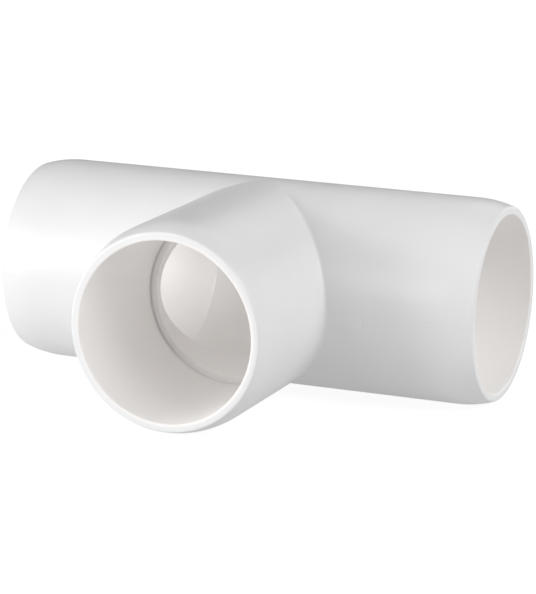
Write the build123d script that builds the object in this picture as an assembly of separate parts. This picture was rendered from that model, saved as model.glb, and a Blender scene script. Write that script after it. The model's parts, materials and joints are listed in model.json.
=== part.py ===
from build123d import *
import os
from math import sqrt

# Equal tee for small-bore plastic pipe, made as one moulding with three plain solvent-weld sockets.
# Millimetres, +Z up. The run lies along X and the branch points along -Y. The origin is the point
# where the three pipe axes meet. The moulding is held as four closed solids that meet face to face:
# the crossing in the middle, and the three sockets that grow out of it.

# Driving dimensions
PIPE_DIAMETER = 21.5        # outside diameter of the pipe that each socket takes
PIPE_CLEARANCE = 0.2        # socket bore less pipe, on the diameter
SOCKET_WALL = 1.75          # wall of each socket
ARM_LENGTH = 31.0           # axis crossing to each mouth
STOP_DISTANCE = 11.2        # axis crossing to the shoulder that each pipe end meets
STOP_STEP = 0.95            # how far that shoulder stands in from the socket bore
STOP_EDGE_RADIUS = 0.2      # rounding of the shoulder's inner edge
RIM_WIDTH = 1.0             # flat ring left at each mouth
RIM_EDGE_RADIUS = 0.2       # rounding of that ring's two edges
MOUTH_ARC_RADIUS = 13.5     # long arc that draws the outside in towards each mouth
CREASE_RADIUS = 0.4         # blend where the branch leaves the run, outside
PASSAGE_CREASE_RADIUS = 0.5 # blend where the branch passage leaves the run passage, inside
SOCKET_START = 13.5         # axis crossing to the face where each socket begins, clear of the crease

# Derived dimensions
SOCKET_RADIUS = (PIPE_DIAMETER + PIPE_CLEARANCE) / 2
BODY_RADIUS = SOCKET_RADIUS + SOCKET_WALL
WAIST_RADIUS = SOCKET_RADIUS - STOP_STEP
RIM_RADIUS = SOCKET_RADIUS + RIM_WIDTH
MOUTH_DROP = BODY_RADIUS - RIM_RADIUS
MOUTH_ARC_LENGTH = sqrt(MOUTH_ARC_RADIUS**2 - (MOUTH_ARC_RADIUS - MOUTH_DROP) ** 2)

# Each arm is modelled along +Z and laid over to point out of the crossing.
ARMS = {
    "left": Rotation(0, -90, 0),
    "right": Rotation(0, 90, 0),
    "branch": Rotation(90, 0, 0),
}
FROM_ORIGIN = (Align.CENTER, Align.CENTER, Align.MIN)

# Two lengths nearer to each other than this are taken for the same length.
CLOSE = 0.01


def crossing(radius, reach, crease_radius):
    """The run rod and the branch rod of one radius, joined, with the creases between them blended."""
    run = Cylinder(radius, 2 * reach, rotation=(0, 90, 0))
    # Half a turn about its own axis puts the branch rod's surface seam on its -X side.
    upright = Cylinder(radius, reach, rotation=(0, 0, 180), align=FROM_ORIGIN)
    rods = run + ARMS["branch"] * upright
    creases = rods.edges().filter_by(GeomType.ELLIPSE)
    return fillet(creases, crease_radius)


def passage():
    """The space inside the crossing: the waist passages, opened out into the bottoms of the sockets."""
    space = crossing(WAIST_RADIUS, SOCKET_START, PASSAGE_CREASE_RADIUS)
    depth = SOCKET_START - STOP_DISTANCE
    bottom = Cylinder(SOCKET_RADIUS, depth, align=FROM_ORIGIN)
    for turn in ARMS.values():
        space += turn * Pos(0, 0, STOP_DISTANCE) * bottom
    return space


def on_stop_edge(edge):
    """Is this edge a shoulder's inner edge, where the waist meets the bottom of a socket?"""
    away = edge.arc_center.length
    return abs(edge.radius - WAIST_RADIUS) < CLOSE and abs(away - STOP_DISTANCE) < CLOSE


def junction_body():
    """The crossing, from the face of each socket inwards, with the three pipe stops."""
    body = crossing(BODY_RADIUS, SOCKET_START, CREASE_RADIUS) - passage()
    stop_edges = body.edges().filter_by(GeomType.CIRCLE).filter_by(on_stop_edge)
    return fillet(stop_edges, STOP_EDGE_RADIUS)


def socket():
    """One socket along +Z: a plain tube whose outside is drawn in by a long arc towards the mouth."""
    arc_start = (BODY_RADIUS, ARM_LENGTH - MOUTH_ARC_LENGTH)
    mouth_edge = (RIM_RADIUS, ARM_LENGTH)
    outside = Line((BODY_RADIUS, SOCKET_START), arc_start)
    drawn_in = TangentArc(arc_start, mouth_edge, tangent=(0, 1))
    ends_and_bore = Polyline(
        mouth_edge,
        (SOCKET_RADIUS, ARM_LENGTH),
        (SOCKET_RADIUS, SOCKET_START),
        (BODY_RADIUS, SOCKET_START),
    )
    section = Plane.XZ * make_face(outside + drawn_in + ends_and_bore)
    tube = revolve(section, Axis.Z)
    rim_edges = tube.edges().filter_by(GeomType.CIRCLE).group_by(Axis.Z)[-1]
    return fillet(rim_edges, RIM_EDGE_RADIUS)


os.makedirs("parts", exist_ok=True)

export_step(junction_body(), "parts/junction_body.step")
for side, turn in ARMS.items():
    export_step(turn * socket(), f"parts/{side}_socket.step")
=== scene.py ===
# %% [markdown]
# # A white plastic tee for small pipe
# This lesson dresses a pipe fitting that already exists as an exact CAD model. The fitting is one
# moulding in hard white plastic: a straight run with a socket at each end, and a branch of the same
# bore square to it. The CAD model gives every size and place. Blender adds what a moulding shows
# close up, and the light to see it by. Everything is in metres, with +X along the run, -Y along the
# branch and +Z up.

# %% Load the frame
import bpy
import bmesh
import json
from math import asin, cos, pi, radians, sin, sqrt
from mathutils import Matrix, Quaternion, Vector


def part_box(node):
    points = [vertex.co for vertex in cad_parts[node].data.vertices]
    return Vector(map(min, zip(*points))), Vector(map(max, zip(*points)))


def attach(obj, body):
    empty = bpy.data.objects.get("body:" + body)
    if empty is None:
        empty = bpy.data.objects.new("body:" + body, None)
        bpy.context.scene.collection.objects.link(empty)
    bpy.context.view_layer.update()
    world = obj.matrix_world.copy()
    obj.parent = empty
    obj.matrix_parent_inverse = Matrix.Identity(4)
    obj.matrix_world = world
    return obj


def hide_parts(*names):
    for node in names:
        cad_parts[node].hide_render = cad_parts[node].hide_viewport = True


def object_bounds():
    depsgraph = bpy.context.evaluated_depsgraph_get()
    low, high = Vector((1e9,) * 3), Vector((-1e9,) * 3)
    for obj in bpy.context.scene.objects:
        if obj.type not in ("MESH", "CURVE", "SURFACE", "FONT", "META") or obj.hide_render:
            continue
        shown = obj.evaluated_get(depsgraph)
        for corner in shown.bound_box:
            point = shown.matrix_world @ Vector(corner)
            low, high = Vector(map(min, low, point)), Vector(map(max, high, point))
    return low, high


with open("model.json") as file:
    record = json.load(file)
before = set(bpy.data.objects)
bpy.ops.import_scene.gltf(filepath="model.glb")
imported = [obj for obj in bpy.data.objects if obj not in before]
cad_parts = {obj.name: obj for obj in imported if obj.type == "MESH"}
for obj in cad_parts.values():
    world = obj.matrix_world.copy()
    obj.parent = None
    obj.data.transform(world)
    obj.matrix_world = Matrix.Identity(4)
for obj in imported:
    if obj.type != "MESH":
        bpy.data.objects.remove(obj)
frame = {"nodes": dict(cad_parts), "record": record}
cad_low, cad_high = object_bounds()
MM = 0.001
mounts = {mount["name"]: mount for mount in frame["record"]["mounts"]}
print("CAD box in mm:", [round(v / MM, 2) for v in (*cad_low, *cad_high)])

# %% [markdown]
# ## Sizes
# A fitting like this is drawn from very few numbers. The bore of the sockets comes from the record,
# where it is stated for the pipe that fits it, and the outside comes from the boxes of the CAD
# solids. Only the finer shape of a mouth, which no box tells, is given here as numbers of its own.

# %% Sizes
body_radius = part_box("junction_body")[1].z
socket_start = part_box("right_socket")[0].x
mouth_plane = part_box("right_socket")[1].x
bore_radius = mounts["right_socket"]["dims"]["r_mm"] * MM
RIM_WIDTH = 1.0 * MM
RIM_EDGE_RADIUS = 0.2 * MM
MOUTH_ARC_RADIUS = 13.5 * MM
rim_radius = bore_radius + RIM_WIDTH
mouth_drop = body_radius - rim_radius
mouth_arc_length = sqrt(MOUTH_ARC_RADIUS**2 - (MOUTH_ARC_RADIUS - mouth_drop) ** 2)
print(f"body radius {body_radius / MM:.2f} mm, bore radius {bore_radius / MM:.2f} mm")
print(f"sockets from {socket_start / MM:.1f} to {mouth_plane / MM:.1f} mm")

# %% [markdown]
# ## The camera
# A long lens from a third of a metre keeps the two ends of the run nearly the same size, as in a
# catalogue picture. The camera is placed by its direction from the fitting, its distance and a point
# that it looks at, so that each can be changed alone. A small roll about the line of sight keeps the
# run from looking as if it slides downhill.

# %% Camera
CAMERA_AZIMUTH = radians(22.37)
CAMERA_HEIGHT = radians(13.46)
CAMERA_ROLL = radians(0.89)
CAMERA_DISTANCE = 29.12 * body_radius
CAMERA_TARGET = Vector((0.013, 0.0, -0.187)) * body_radius
LENS_MM = 178.1


def direction(azimuth, height):
    """The unit vector towards a point at this bearing, turned from -Y towards +X, and this height."""
    return Vector((sin(azimuth) * cos(height), -cos(azimuth) * cos(height), sin(height)))


towards_camera = direction(CAMERA_AZIMUTH, CAMERA_HEIGHT)
bpy.ops.object.select_all(action="DESELECT")
bpy.ops.object.camera_add(location=CAMERA_TARGET + towards_camera * CAMERA_DISTANCE)
camera = bpy.context.object
camera.name = "camera"
camera.rotation_mode = "QUATERNION"
roll = Quaternion((0, 0, 1), CAMERA_ROLL)
camera.rotation_quaternion = towards_camera.to_track_quat("Z", "Y") @ roll
camera.data.lens = LENS_MM
camera.data.clip_start = 0.01
bpy.context.scene.camera = camera
print("camera at", [round(v / MM, 1) for v in camera.location], "mm")

# %% [markdown]
# ## Two helpers for modelling
# Operators act on whatever is selected, so each modelling step first says what it works on. One
# helper leaves a single object selected and active. The other, in edit mode, selects just the
# vertices, edges or faces that pass a test of their place.

# %% Helpers
def work_on(piece):
    """Leave this one object selected and active."""
    bpy.ops.object.select_all(action="DESELECT")
    piece.select_set(True)
    bpy.context.view_layer.objects.active = piece


def pick(piece, kind, test):
    """In edit mode, select only the elements that pass the test. The kind is VERT, EDGE or FACE."""
    bpy.ops.mesh.select_mode(type=kind)
    bpy.ops.mesh.select_all(action="DESELECT")
    mesh = bmesh.from_edit_mesh(piece.data)
    elements = {"VERT": mesh.verts, "EDGE": mesh.edges, "FACE": mesh.faces}[kind]
    chosen = [element for element in elements if test(element)]
    for element in chosen:
        element.select_set(True)
    bmesh.update_edit_mesh(piece.data)
    return len(chosen)


# %% [markdown]
# ## The sockets
# Each socket is a plain tube. Its outside is drawn in by a long, flat arc over the last few
# millimetres, down to a narrow flat rim. A tube could be cut from a cylinder with a boolean, or a
# section could be spun. Here a circle is extruded ring by ring round the section, out along the
# outside, over the rim and back down the bore, because that gives clean rows of four-sided faces
# that follow the tube, and the reflections on glossy plastic show every face that doesn't.

# %% The section of a socket
ARC_RINGS = 10


def outside_radius(along):
    """The radius of a socket's outside at this distance from the axis crossing."""
    into_arc = max(0.0, along - (mouth_plane - mouth_arc_length))
    return body_radius - (MOUTH_ARC_RADIUS - sqrt(MOUTH_ARC_RADIUS**2 - into_arc**2))


arc_places = [mouth_plane - mouth_arc_length * (1 - i / ARC_RINGS) for i in range(ARC_RINGS + 1)]
section = [(socket_start, body_radius)]
section += [(along, outside_radius(along)) for along in arc_places]
section += [(mouth_plane, bore_radius), (socket_start, bore_radius), (socket_start, body_radius)]
print(len(section), "rings; the outside ends at", round(section[ARC_RINGS + 1][1] / MM, 3), "mm radius")

# %% Extrude the socket ring by ring
SIDES = 160
MERGE_WITHIN = 0.001 * MM
bpy.ops.object.select_all(action="DESELECT")
bpy.ops.mesh.primitive_circle_add(
    vertices=SIDES,
    radius=section[0][1],
    location=(section[0][0], 0, 0),
    rotation=(0, pi / 2, 0),
)
right_socket = bpy.context.object
right_socket.name = "right_socket_tube"
bpy.ops.object.transform_apply(location=True, rotation=True, scale=True)
bpy.ops.object.mode_set(mode="EDIT")
bpy.ops.mesh.select_all(action="SELECT")
for (last_along, last_radius), (along, radius) in zip(section, section[1:]):
    bpy.ops.mesh.extrude_region_move(TRANSFORM_OT_translate={"value": (along - last_along, 0, 0)})
    bpy.ops.transform.resize(value=(1, radius / last_radius, radius / last_radius))
bpy.ops.mesh.select_all(action="SELECT")
bpy.ops.mesh.remove_doubles(threshold=MERGE_WITHIN)
bpy.ops.mesh.normals_make_consistent(inside=False)

# %% [markdown]
# A moulded rim is never knife sharp. Its two edges are rounded with a bevel on just those two rings
# of edges, picked by their place. The ends that meet the crossing stay square, so that they lie flat
# against it and no groove shows.

# %% Round the rim's two edges
TINY = 0.01 * MM
SHORTER_THAN_A_SPOKE = RIM_WIDTH * 0.9


def on_rim(edge):
    """Is this edge part of one of the two rings at the mouth, and not a spoke between them?"""
    at_mouth = all(abs(vertex.co.x - mouth_plane) < TINY for vertex in edge.verts)
    return at_mouth and edge.calc_length() < SHORTER_THAN_A_SPOKE


print(pick(right_socket, "EDGE", on_rim), "rim edges rounded")
bpy.ops.mesh.bevel(offset=RIM_EDGE_RADIUS, segments=4, affect="EDGES")
bpy.ops.object.mode_set(mode="OBJECT")
work_on(right_socket)
bpy.ops.object.shade_smooth_by_angle(angle=radians(35))
print("right socket:", len(right_socket.data.polygons), "faces")

# %% [markdown]
# The three sockets are the same, so the other two are copies, each with a mesh of its own. They are
# turned about the vertical axis through the crossing, and the turn is then applied, which leaves
# every object at the origin with its place in its mesh.

# %% Copy the socket to the other two arms
sockets = {"right_socket": right_socket}
for node, angle in {"left_socket": pi, "branch_socket": -pi / 2}.items():
    work_on(right_socket)
    bpy.ops.object.duplicate()
    copy = bpy.context.object
    copy.name = f"{node}_tube"
    copy.rotation_euler = (0, 0, angle)
    bpy.ops.object.transform_apply(location=True, rotation=True, scale=True)
    sockets[node] = copy
for node, tube in sockets.items():
    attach(tube, "root")
    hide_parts(node)
    print(node, [round(v / MM, 2) for v in (*tube.bound_box[0], *tube.bound_box[6])])

# %% [markdown]
# ## The parting line
# The two halves of the mould close on the plane through all three axes, and where they meet they
# leave a fine ridge along the outside. It could be painted on as bump, but a ridge that stands up
# from the surface also shows at the edge of the shape. It is made as a thin flattened rod, more than
# half sunk in the plastic. The rod is extruded where the outline is straight and spun where the
# outline turns: round the small hollow beside the branch, and round the long arc at each mouth.

# %% The ridge's size, and where it turns
RIDGE_HEIGHT = 0.03 * MM
RIDGE_SUNK = 0.06 * MM
RIDGE_WIDTH = 0.13 * MM
RIDGE_END = 30.7 * MM
RIDGE_SIDES = 10
ridge_thickness = RIDGE_HEIGHT + RIDGE_SUNK
arc_start = mouth_plane - mouth_arc_length
arc_centre_radius = body_radius - MOUTH_ARC_RADIUS
mouth_turn = asin((RIDGE_END - arc_start) / MOUTH_ARC_RADIUS)
print(f"the mouth arc starts at {arc_start / MM:.2f} mm and the ridge ends at {RIDGE_END / MM:.1f} mm")


# %% The moves that draw a ridge
def start_ridge(name, along, side):
    """A flat ring across the run's outline, at the back of the run if side is 1, in front if -1."""
    ridge_radius = body_radius + RIDGE_HEIGHT - ridge_thickness / 2
    bpy.ops.object.select_all(action="DESELECT")
    bpy.ops.mesh.primitive_circle_add(
        vertices=RIDGE_SIDES,
        radius=RIDGE_WIDTH / 2,
        location=(along, side * ridge_radius, 0),
        rotation=(0, pi / 2, 0),
    )
    ridge = bpy.context.object
    ridge.name = name
    bpy.ops.object.transform_apply(location=True, rotation=True, scale=True)
    bpy.ops.object.mode_set(mode="EDIT")
    bpy.ops.mesh.select_all(action="SELECT")
    bpy.ops.transform.resize(value=(1, ridge_thickness / RIDGE_WIDTH, 1))
    return ridge


def run_straight(step):
    """Extrude the selected ring along a straight stretch."""
    bpy.ops.mesh.extrude_region_move(TRANSFORM_OT_translate={"value": step})


def go_round(centre, angle, steps):
    """Spin the selected ring about a vertical line, anticlockwise seen from above."""
    bpy.ops.mesh.spin(steps=steps, angle=-angle, center=(*centre, 0), axis=(0, 0, 1))


def finish_ridge(ridge):
    """Cap the rod's ends, turn its faces outwards and put it on the fitting."""
    bpy.ops.mesh.select_all(action="SELECT")
    bpy.ops.mesh.remove_doubles(threshold=MERGE_WITHIN)
    bpy.ops.mesh.fill_holes(sides=RIDGE_SIDES)
    bpy.ops.mesh.select_all(action="SELECT")
    bpy.ops.mesh.normals_make_consistent(inside=False)
    bpy.ops.object.mode_set(mode="OBJECT")
    work_on(ridge)
    bpy.ops.object.shade_smooth_by_angle(angle=radians(50))
    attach(ridge, "root")
    print(ridge.name, [round(v / MM, 2) for v in (*ridge.bound_box[0], *ridge.bound_box[6])])


# %% The ridge along the back of the run
back_ridge = start_ridge("parting_line_back", -arc_start, 1)
run_straight((2 * arc_start, 0, 0))
go_round((arc_start, arc_centre_radius), -mouth_turn, ARC_RINGS)
pick(back_ridge, "VERT", lambda vertex: abs(vertex.co.x + arc_start) < TINY)
go_round((-arc_start, arc_centre_radius), mouth_turn, ARC_RINGS)
finish_ridge(back_ridge)

# %% The ridge in front, from the hollow beside the branch to both mouths
HOLLOW_RADIUS = 0.4 * MM
HOLLOW_RINGS = 6
hollow_centre = body_radius + HOLLOW_RADIUS
right_ridge = start_ridge("parting_line_right", hollow_centre, -1)
run_straight((arc_start - hollow_centre, 0, 0))
go_round((arc_start, -arc_centre_radius), mouth_turn, ARC_RINGS)
pick(right_ridge, "VERT", lambda vertex: abs(vertex.co.x - hollow_centre) < TINY)
go_round((hollow_centre, -hollow_centre), pi / 2, HOLLOW_RINGS)
run_straight((0, hollow_centre - arc_start, 0))
go_round((arc_centre_radius, -arc_start), -mouth_turn, ARC_RINGS)
finish_ridge(right_ridge)

# %% [markdown]
# The ridge on the left is the mirror image of the one on the right. A negative scale turns a shape
# inside out, so the copy goes through the same finish, which turns its faces outwards again.

# %% Mirror it to the left
work_on(right_ridge)
bpy.ops.object.duplicate()
left_ridge = bpy.context.object
left_ridge.name = "parting_line_left"
left_ridge.scale = (-1, 1, 1)
bpy.ops.object.transform_apply(location=True, rotation=True, scale=True)
bpy.ops.object.mode_set(mode="EDIT")
finish_ridge(left_ridge)

# %% [markdown]
# ## The gate scar
# Melted plastic enters the mould through a small gate, and when the moulding is broken off its
# runner a stub of that gate stays behind. Here it is a low, torn block just under the parting line,
# beside the branch. It is a cube cut into small faces. Its outer face is roughened at random from a
# fixed seed, and subdivision then softens the whole, so that it looks melted and not chipped.

# %% A cube across the wall, just under the parting line
GATE_WIDTH = 2.2 * MM
GATE_TALL = 1.7 * MM
GATE_PROUD = 0.12 * MM
GATE_SUNK = 0.5 * MM
GATE_ALONG = 16.2 * MM
GATE_DROP = 1.2 * MM
gate_tilt = asin(GATE_DROP / body_radius)
gate_radius = body_radius + (GATE_PROUD - GATE_SUNK) / 2
bpy.ops.object.select_all(action="DESELECT")
bpy.ops.mesh.primitive_cube_add(
    size=1,
    location=(GATE_ALONG, -gate_radius * cos(gate_tilt), -gate_radius * sin(gate_tilt)),
    rotation=(gate_tilt, 0, 0),
    scale=(GATE_WIDTH, GATE_PROUD + GATE_SUNK, GATE_TALL),
)
gate_scar = bpy.context.object
gate_scar.name = "gate_scar"
bpy.ops.object.transform_apply(location=True, rotation=True, scale=True)

# %% Tear its outer face
TORN = 0.05 * MM
torn_from = body_radius + GATE_PROUD * 0.6
bpy.ops.object.mode_set(mode="EDIT")
bpy.ops.mesh.select_all(action="SELECT")
bpy.ops.mesh.subdivide(number_cuts=7)
torn_count = pick(gate_scar, "VERT", lambda vertex: vertex.co.yz.length > torn_from)
bpy.ops.transform.vertex_random(offset=TORN, uniform=0.3, normal=0.6, seed=7)
bpy.ops.object.mode_set(mode="OBJECT")
print(torn_count, "points torn")

# %% Soften it
work_on(gate_scar)
bpy.ops.object.modifier_add(type="SUBSURF")
softener = gate_scar.modifiers[-1]
softener.levels = 2
softener.render_levels = 2
bpy.ops.object.modifier_apply(modifier=softener.name)
bpy.ops.object.shade_smooth_by_angle(angle=radians(60))
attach(gate_scar, "root")
print("gate scar:", len(gate_scar.data.polygons), "faces")

# %% [markdown]
# ## The plastic
# Rigid PVC is made white by a chalky pigment, so it is opaque and rather glossy. A flat white would
# look like paint, because a real moulding is never quite even. It has faint clouds in the white, a
# very fine orange peel, a gloss that varies, a few specks, and scuffs from the bag it was sold in. All
# of these are worked out from the place of each point on the fitting, so they need no picture, and
# they run on from one piece to the next. The next two cells hold short names for the nodes used below.

# %% Short names for nodes
def add(tree, kind, settings=None, values=None):
    """Add a node, set its properties, then give its input sockets their values."""
    node = tree.nodes.new(kind)
    for name, value in (settings or {}).items():
        setattr(node, name, value)
    for socket, value in (values or {}).items():
        node.inputs[socket].default_value = value
    return node


def calculate(tree, operation, first, second=None):
    """A maths node on two sockets or numbers. Returns its output socket."""
    node = add(tree, "ShaderNodeMath", {"operation": operation})
    for number, value in enumerate((first, second)):
        if isinstance(value, (int, float)):
            node.inputs[number].default_value = value
        elif value is not None:
            tree.links.new(value, node.inputs[number])
    return node.outputs[0]


# %% Short names for a fade, a noise and a tint
def fade(tree, value, start, end, low, high):
    """A smooth step: low up to start, high from end on."""
    limits = {"From Min": start, "From Max": end, "To Min": low, "To Max": high}
    node = add(tree, "ShaderNodeMapRange", {"interpolation_type": "SMOOTHSTEP"}, limits)
    tree.links.new(value, node.inputs["Value"])
    return node.outputs["Result"]


def lumps(tree, place, detail, to_the_metre):
    """Noise with so many lumps to the metre along each axis. Unequal numbers draw it out."""
    mapping = add(tree, "ShaderNodeMapping", values={"Scale": to_the_metre})
    tree.links.new(place, mapping.inputs["Vector"])
    texture = add(tree, "ShaderNodeTexNoise", values={"Scale": 1, "Detail": detail, "Roughness": 0.55})
    tree.links.new(mapping.outputs["Vector"], texture.inputs["Vector"])
    return texture.outputs["Fac"]


def tint(tree, amount, under, colour):
    """Lay a colour over another by this amount. What is under is a colour or a socket."""
    node = add(tree, "ShaderNodeMix", {"data_type": "RGBA"})
    lower, upper = [socket for socket in node.inputs if socket.type == "RGBA"]
    upper.default_value = colour
    if isinstance(under, tuple):
        lower.default_value = under
    else:
        tree.links.new(under, lower)
    tree.links.new(amount, node.inputs["Factor"])
    return next(socket for socket in node.outputs if socket.type == "RGBA")


# %% [markdown]
# ## Inside, outside and the corners
# A bore is moulded on a polished steel core, and it has its own marks. It is painted a brighter,
# warmer white than the outside: painted light, for the light that shines through the thin wall and
# bounces about in the bore. The material finds out where it is by measuring how far a point is from
# the pipe's axis: the coordinate along the axis is dropped, and the length of what is left is the
# distance. In the crossing two axes matter, so there the two answers are joined. The corner where a
# bore meets its stop is a circle, and the distance from it gives a fine grey line there: painted
# shade, for the shadow deep in that corner. Towards the bottom the line gets fainter.

# %% Inside or outside
# Each axis is given by what lies across it: 1 keeps a coordinate, and 0 drops the one along the axis.
ACROSS_RUN = (0, 1, 1)
ACROSS_BRANCH = (1, 0, 1)
RIM_FADE_FROM = bore_radius + 0.1 * MM
RIM_FADE_TO = bore_radius + 0.6 * MM


def distance_from_axis(tree, place, across):
    """How far a point is from an axis, by dropping the coordinate along it."""
    flat = add(tree, "ShaderNodeVectorMath", {"operation": "MULTIPLY"}, {1: across})
    tree.links.new(place, flat.inputs[0])
    length = add(tree, "ShaderNodeVectorMath", {"operation": "LENGTH"})
    tree.links.new(flat.outputs["Vector"], length.inputs[0])
    return length.outputs["Value"]


def inside_a_bore(tree, from_axis):
    """1 in the bore, 0 on the outside, with the change across the rim."""
    return fade(tree, from_axis, RIM_FADE_FROM, RIM_FADE_TO, 1.0, 0.0)


# %% The painted shade in the corner of one bore
CORNER_FULL = 0.1 * MM
CORNER_REACH = 0.4 * MM
socket_mount = mounts["right_socket"]
stop_plane = socket_mount["pos_m"][0] - socket_mount["dims"]["length_mm"] * MM / 2
print("the bores meet their stops at", round(stop_plane / MM, 2), "mm")


def stop_corner(tree, from_axis, along):
    """1 on the circle where a bore meets its stop, 0 beyond the reach of the painted shade there."""
    offset = add(tree, "ShaderNodeCombineXYZ")
    tree.links.new(calculate(tree, "SUBTRACT", from_axis, bore_radius), offset.inputs["X"])
    tree.links.new(calculate(tree, "SUBTRACT", along, stop_plane), offset.inputs["Y"])
    length = add(tree, "ShaderNodeVectorMath", {"operation": "LENGTH"})
    tree.links.new(offset.outputs["Vector"], length.inputs[0])
    return fade(tree, length.outputs["Value"], CORNER_FULL, CORNER_REACH, 1.0, 0.0)


# %% Both masks for the crossing
BRANCH_FADE = 1.0 * MM
# Below this height the painted shade in the stop corners grows fainter.
SHADE_FADES_BELOW = -10.0 * MM
SHADE_LEFT_AT_BOTTOM = 0.3


def crossing_masks(tree, place):
    """The inside of the crossing, and the painted shade at its stop corners, fainter towards the
    bottom.
    """
    parts = add(tree, "ShaderNodeSeparateXYZ")
    tree.links.new(place, parts.inputs["Vector"])
    along_run = calculate(tree, "ABSOLUTE", parts.outputs["X"])
    along_branch = calculate(tree, "MULTIPLY", parts.outputs["Y"], -1.0)
    from_run = distance_from_axis(tree, place, ACROSS_RUN)
    from_branch = distance_from_axis(tree, place, ACROSS_BRANCH)
    in_front = fade(tree, along_branch, 0.0, BRANCH_FADE, 0.0, 1.0)
    in_branch = calculate(tree, "MULTIPLY", inside_a_bore(tree, from_branch), in_front)
    inside = calculate(tree, "MAXIMUM", inside_a_bore(tree, from_run), in_branch)
    run_corners = stop_corner(tree, from_run, along_run)
    branch_corner = stop_corner(tree, from_branch, along_branch)
    corners = calculate(tree, "MAXIMUM", run_corners, branch_corner)
    height = parts.outputs["Z"]
    # The painted shade in the corners fades towards the bottom.
    shade_kept = fade(tree, height, SHADE_FADES_BELOW, SHADE_FADES_BELOW / 2, SHADE_LEFT_AT_BOTTOM, 1.0)
    return inside, calculate(tree, "MULTIPLY", corners, shade_kept)


# %% [markdown]
# ## Its colour
# Two whites a shade apart, mixed by slow lumps, make the clouds. The inside is laid over them in a
# brighter, warmer white, which is painted light for the light that shines through the thin wall and
# bounces about in the bore. A speck is a burnt grain of plastic: cell noise has one point in each
# cell, so a small spot at a tenth of those points gives specks that are scattered but never crowded.

# %% Colour
OUTSIDE_WHITE = (0.885, 0.885, 0.888, 1)
OUTSIDE_CLOUD = (0.865, 0.865, 0.868, 1)
# The inside's brighter, warmer white is painted light, for light through the thin wall and bouncing in
# the bore.
INSIDE_PAINTED_LIGHT_WHITE = (0.981, 0.958, 0.940, 1)
SPECK_BROWN = (0.55, 0.50, 0.43, 1)
# A grey tinted into the stop corners as painted shade, for the shadow deep in them.
CORNER_SHADE_GREY = (0.60, 0.58, 0.565, 1)
CLOUDS_TO_THE_METRE = (90, 90, 90)
CLOUD_EDGES = (0.35, 0.65)
SPECK_CELLS_TO_THE_METRE = 330
SPECK_RADIUS = 0.015
SPECK_FADES_BY = 0.03
SPECK_STRENGTH = 0.6
CELLS_WITHOUT_A_SPECK = 0.9


def specks(tree, place):
    """How strongly a burnt grain shows. Its radius is in shares of a cell."""
    cells = add(tree, "ShaderNodeTexVoronoi", {"feature": "F1"}, {"Scale": SPECK_CELLS_TO_THE_METRE})
    tree.links.new(place, cells.inputs["Vector"])
    spot = fade(tree, cells.outputs["Distance"], SPECK_RADIUS, SPECK_FADES_BY, SPECK_STRENGTH, 0.0)
    chance = add(tree, "ShaderNodeSeparateColor")
    tree.links.new(cells.outputs["Color"], chance.inputs["Color"])
    one_in_ten = calculate(tree, "GREATER_THAN", chance.outputs["Red"], CELLS_WITHOUT_A_SPECK)
    return calculate(tree, "MULTIPLY", spot, one_in_ten)


def plastic_colour(tree, place, inside):
    """Clouded white outside, a brighter, warmer white inside as painted light, and specks over both."""
    clouds = fade(tree, lumps(tree, place, 3, CLOUDS_TO_THE_METRE), *CLOUD_EDGES, 0.0, 1.0)
    colour = tint(tree, clouds, OUTSIDE_WHITE, OUTSIDE_CLOUD)
    # Painted light: the inside is tinted a brighter, warmer white.
    colour = tint(tree, inside, colour, INSIDE_PAINTED_LIGHT_WHITE)
    return tint(tree, specks(tree, place), colour, SPECK_BROWN)


# %% [markdown]
# ## Its gloss and relief
# Scuffs are short, fine and mostly level, because fittings rub against each other in the bag. They
# come from noise drawn out along the horizontal, of which only the tops are kept, and there the
# surface is duller and a little worn down. Orange peel is very fine noise. The core leaves marks along
# its own way out of the mould, so that noise is drawn out along the run or along the branch. All the
# relief is a hundredth of a millimetre deep: it breaks up a reflection and moves no outline.

# %% Gloss and relief
GLOSSIEST = 0.31
DULLEST = 0.39
SCUFF_DULLNESS = 0.16
GLOSS_TO_THE_METRE = (260, 260, 260)
GLOSS_EDGES = (0.3, 0.7)
PEEL_TO_THE_METRE = (900, 900, 900)
SCUFFS_TO_THE_METRE = (420, 500, 3600)
CORE_MARK_HEIGHT = 1.5
SCUFF_DEPTH = 0.5
RELIEF_STRENGTH = 0.5
RELIEF_DEPTH = 0.012 * MM


def plastic_gloss(tree, place, scuffs):
    """The roughness: semi-gloss, uneven, and duller in the scuffs."""
    lumpy = lumps(tree, place, 4, GLOSS_TO_THE_METRE)
    uneven = fade(tree, lumpy, *GLOSS_EDGES, GLOSSIEST, DULLEST)
    return calculate(tree, "ADD", uneven, calculate(tree, "MULTIPLY", scuffs, SCUFF_DULLNESS))


def plastic_relief(tree, place, inside, scuffs, core_marks_to_the_metre):
    """The bump: orange peel, marks of the core in the bore, and scuffs worn into both."""
    core_marks = calculate(tree, "MULTIPLY", lumps(tree, place, 2, core_marks_to_the_metre), inside)
    peel = lumps(tree, place, 2, PEEL_TO_THE_METRE)
    raised = calculate(tree, "MULTIPLY", core_marks, CORE_MARK_HEIGHT)
    worn = calculate(tree, "MULTIPLY", scuffs, SCUFF_DEPTH)
    height = calculate(tree, "SUBTRACT", calculate(tree, "ADD", peel, raised), worn)
    depth = {"Strength": RELIEF_STRENGTH, "Distance": RELIEF_DEPTH}
    bump = add(tree, "ShaderNodeBump", values=depth)
    tree.links.new(height, bump.inputs["Height"])
    return bump.outputs["Normal"]


# %% [markdown]
# ## Three finishes of one plastic
# The run, the branch and the crossing are the same plastic, and differ only in where their inside is
# and which way their core marks run. One function makes all three, so that a change to the plastic is
# made once.

# %% The finishes
ALONG_RUN = (60, 2600, 2600)
ALONG_BRANCH = (2600, 60, 2600)
PVC_IOR = 1.52
SCUFF_EDGES = (0.66, 0.74)
# How strongly the painted shade shows in the stop corners.
CORNER_SHADE_STRENGTH = 0.75


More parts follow.
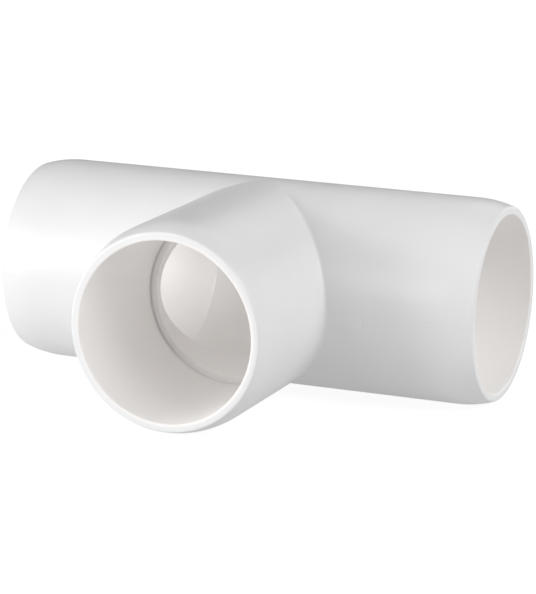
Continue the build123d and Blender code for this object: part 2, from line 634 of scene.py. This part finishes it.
def white_plastic(name, across, core_marks_to_the_metre):
    """Moulded white PVC for a socket, given what lies across its axis, or None for the crossing."""
    material = bpy.data.materials.new(name)
    material.use_nodes = True
    tree = material.node_tree
    shader = tree.nodes["Principled BSDF"]
    place = add(tree, "ShaderNodeTexCoord").outputs["Object"]
    drawn_out = lumps(tree, place, 3, SCUFFS_TO_THE_METRE)
    scuffs = fade(tree, drawn_out, *SCUFF_EDGES, 0.0, 1.0)
    if across is None:
        inside, corners = crossing_masks(tree, place)
        # The stop corners are tinted grey: painted shade, for the shadow deep in those corners.
        corner_shade = calculate(tree, "MULTIPLY", corners, CORNER_SHADE_STRENGTH)
        colour = tint(tree, corner_shade, plastic_colour(tree, place, inside), CORNER_SHADE_GREY)
    else:
        inside = inside_a_bore(tree, distance_from_axis(tree, place, across))
        colour = plastic_colour(tree, place, inside)
    normal = plastic_relief(tree, place, inside, scuffs, core_marks_to_the_metre)
    tree.links.new(colour, shader.inputs["Base Color"])
    tree.links.new(plastic_gloss(tree, place, scuffs), shader.inputs["Roughness"])
    tree.links.new(normal, shader.inputs["Normal"])
    shader.inputs["IOR"].default_value = PVC_IOR
    return material


run_plastic = white_plastic("white_plastic_run", ACROSS_RUN, ALONG_RUN)
branch_plastic = white_plastic("white_plastic_branch", ACROSS_BRANCH, ALONG_BRANCH)
crossing_plastic = white_plastic("white_plastic_crossing", None, ALONG_RUN)

# %% Put them on
finishes = {
    sockets["left_socket"]: run_plastic,
    sockets["right_socket"]: run_plastic,
    sockets["branch_socket"]: branch_plastic,
    frame["nodes"]["junction_body"]: crossing_plastic,
    back_ridge: run_plastic,
    left_ridge: run_plastic,
    right_ridge: run_plastic,
    gate_scar: run_plastic,
}
for piece, finish in finishes.items():
    piece.data.materials.clear()
    piece.data.materials.append(finish)
    print(piece.name, "is in", finish.name)

# %% [markdown]
# ## The table and the background
# The fitting lies on a plain white table. To the camera the table and the air behind it are both
# white, so the fitting stands out by its shading alone, and only a faint shadow shows that it
# touches. A table as bright as that would throw so much light upwards that the underside lost its
# shape, so for every ray but the camera's own it is a duller white, and the air is nearly dark. Away
# from the fitting the table gets brighter, until it can't be told from the air.

# %% How the camera and the other rays are told apart
def for_camera_only(tree, seen, unseen, output):
    """Show one shader to the camera and the other to all other rays."""
    rays = add(tree, "ShaderNodeLightPath")
    choice = add(tree, "ShaderNodeMixShader")
    tree.links.new(rays.outputs["Is Camera Ray"], choice.inputs["Fac"])
    tree.links.new(unseen.outputs[0], choice.inputs[1])
    tree.links.new(seen.outputs[0], choice.inputs[2])
    tree.links.new(choice.outputs["Shader"], output.inputs["Surface"])


# %% Table
TABLE_SIZE = 6.0
bpy.ops.object.select_all(action="DESELECT")
bpy.ops.mesh.primitive_plane_add(size=TABLE_SIZE, location=(0, 0, cad_low.z))
table = bpy.context.object
table.name = "table"
print("table top at", round(cad_low.z / MM, 2), "mm")

# %% Its two whites
GLOW_NEAR = 0.8
GLOW_FAR = 1.1
NEAR = 0.08
FAR = 0.5
ACROSS_UPRIGHT = (1, 1, 0)
MATT = {"Roughness": 0.9, "Specular IOR Level": 0.0, "Emission Color": (1, 1, 1, 1)}
table_white = bpy.data.materials.new("table_white")
table_white.use_nodes = True
tree = table_white.node_tree
bright_top = {**MATT, "Base Color": (0.45, 0.45, 0.45, 1)}
dull_top = {**MATT, "Base Color": (0.35, 0.35, 0.35, 1), "Emission Strength": 0.28}
seen = add(tree, "ShaderNodeBsdfPrincipled", values=bright_top)
unseen = add(tree, "ShaderNodeBsdfPrincipled", values=dull_top)
place = add(tree, "ShaderNodeTexCoord").outputs["Object"]
from_fitting = distance_from_axis(tree, place, ACROSS_UPRIGHT)
glow = fade(tree, from_fitting, NEAR, FAR, GLOW_NEAR, GLOW_FAR)
tree.links.new(glow, seen.inputs["Emission Strength"])
for_camera_only(tree, seen, unseen, tree.nodes["Material Output"])
table.data.materials.append(table_white)
print("to the camera the table glows from", GLOW_NEAR, "near the fitting to", GLOW_FAR, "far away")

# %% Air
AIR_SEEN = 1.1
AIR_UNSEEN = 0.01
studio_air = bpy.data.worlds.new("studio_air")
bpy.context.scene.world = studio_air
studio_air.use_nodes = True
tree = studio_air.node_tree
white_air = add(tree, "ShaderNodeBackground", values={"Color": (1, 1, 1, 1), "Strength": AIR_SEEN})
dim_air = add(tree, "ShaderNodeBackground", values={"Color": (1, 1, 1, 1), "Strength": AIR_UNSEEN})
for_camera_only(tree, white_air, dim_air, tree.nodes["World Output"])
print("the air is", AIR_SEEN, "to the camera and", AIR_UNSEEN, "to all other rays")

# %% [markdown]
# ## The lights
# Most of the light comes from large plain softboxes, and the rest from the table, so no shadow has a
# hard edge. The strongest stands low on the left and washes out the left arm, and the branch keeps
# most of it off the right arm just beside it. Two weaker boxes, one on each side of the strongest,
# widen its light. A high box on the right lights the side of the branch and only grazes the right arm,
# which leaves the crease between them dark, and a faint one in front keeps that dark from going deep.
# Two weak ones behind pick out the top edge and the right mouth. Each box is given by its bearing and
# height as seen from the fitting, its width and height in metres, and its power in watts.

# %% Softboxes
LIGHT_DISTANCE = 0.6
SOFTBOXES = {
    "key_left": {"bearing": -50, "height": 5, "size": (0.47, 0.26), "watts": 3.0},
    "front_left": {"bearing": -30, "height": 20, "size": (0.47, 0.26), "watts": 1.15},
    "low_left": {"bearing": -110, "height": 5, "size": (0.47, 0.26), "watts": 0.75},
    "right": {"bearing": 82, "height": 38, "size": (0.55, 0.3), "watts": 2.4},
    "fill": {"bearing": 45, "height": 30, "size": (0.3, 0.3), "watts": 0.14},
    "back_right": {"bearing": 150, "height": 5, "size": (0.47, 0.26), "watts": 0.6},
    "back": {"bearing": 180, "height": 38, "size": (0.3, 0.3), "watts": 0.36},
}
for name, box in SOFTBOXES.items():
    towards_light = direction(radians(box["bearing"]), radians(box["height"]))
    bpy.ops.object.light_add(type="AREA", location=towards_light * LIGHT_DISTANCE)
    light = bpy.context.object
    light.name = name
    light.rotation_mode = "QUATERNION"
    light.rotation_quaternion = towards_light.to_track_quat("Z", "Y")
    light.data.shape = "RECTANGLE"
    light.data.size, light.data.size_y = box["size"]
    light.data.energy = box["watts"]
    print(name, "at", [round(v, 2) for v in light.location])

# %% [markdown]
# ## Tone
# The standard view keeps whites white. A gamma a little over 1 lifts the shadows, as print does, and
# keeps the inside of the branch from going dull.

# %% Tone
view = bpy.context.scene.view_settings
view.view_transform = "Standard"
view.gamma = 1.25
print("view:", view.view_transform, "gamma", round(view.gamma, 2))
